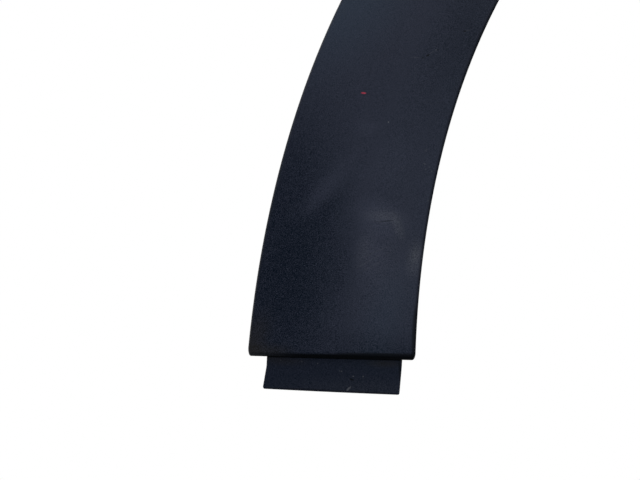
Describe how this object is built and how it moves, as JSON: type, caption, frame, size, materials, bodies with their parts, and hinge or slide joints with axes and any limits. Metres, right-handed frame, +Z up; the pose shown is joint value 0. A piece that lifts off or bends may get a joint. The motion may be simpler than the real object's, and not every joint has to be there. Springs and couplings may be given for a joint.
{
  "type": "wheel arch trim",
  "caption": "Curved wheel arch trim: a crowned plastic band with rounded edges, a wheel-side flange, a stepped lap tab at one end, and push-in clips on its back.",
  "frame": {"origin": "foot of the locating pin at the crown, on the plane where the rear rim meets the body", "axes": "+X along the car, +Y into the body along the locating pins, +Z up; the tab end is at -X"},
  "size_m": [0.8354, 0.0219, 0.4163],
  "materials": {
    "grained_plastic": "fine moulded grain, dark blue-black, hazy and scuffed",
    "clip_plastic": "plain natural plastic"
  },
  "bodies": {
    "root": {"arch_trim": "grained_plastic", "panel_clips": "clip_plastic"}
  },
  "joints": []
}
